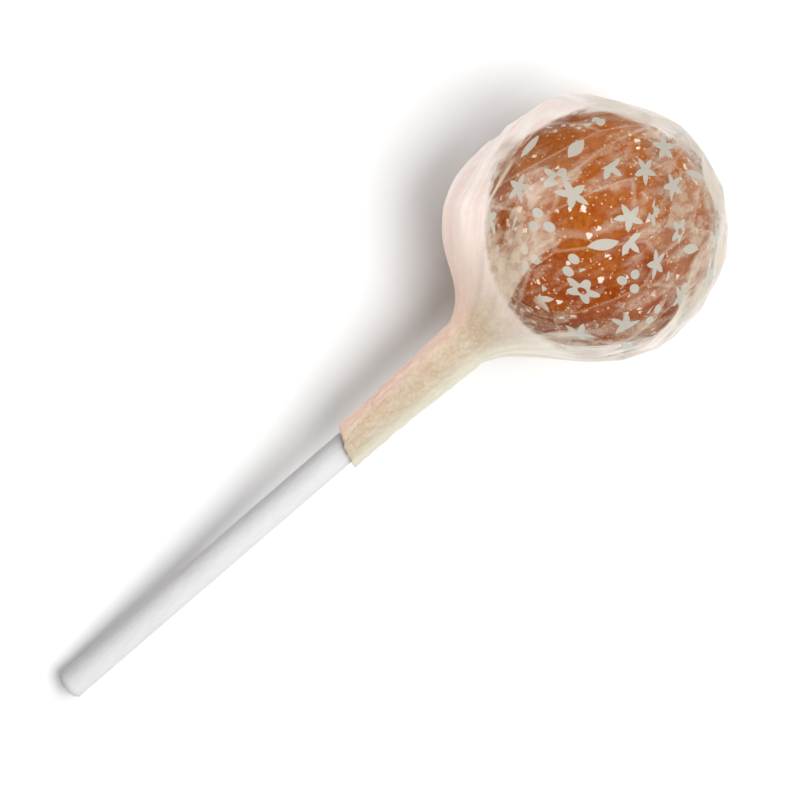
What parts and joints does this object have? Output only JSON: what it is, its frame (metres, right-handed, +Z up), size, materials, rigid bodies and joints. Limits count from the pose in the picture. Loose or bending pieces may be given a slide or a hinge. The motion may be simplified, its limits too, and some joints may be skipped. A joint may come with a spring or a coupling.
{
  "type": "wrapped lollipop",
  "caption": "Ball of boiled sugar on a straight white stick, in a translucent film wrapper that is pleated at the neck and gathered into a sleeve round the stick. It lies on its side.",
  "frame": {"origin": "centre of the bounding box on the table that the lollipop lies on", "axes": "+X along the stick towards the ball, +Z up from the table, +Y across towards the wrapper's fuller lobes"},
  "size_m": [0.104, 0.033, 0.0313],
  "materials": {
    "candy": "glassy orange-brown boiled sugar with a mottled, frosted surface",
    "stick": "matte white rolled paper",
    "wrapper": "waxy translucent film with an off-white confetti print, milky where it is folded"
  },
  "bodies": {
    "root": {"candy": "candy", "stick": "stick", "wrapper": "wrapper"}
  },
  "joints": []
}
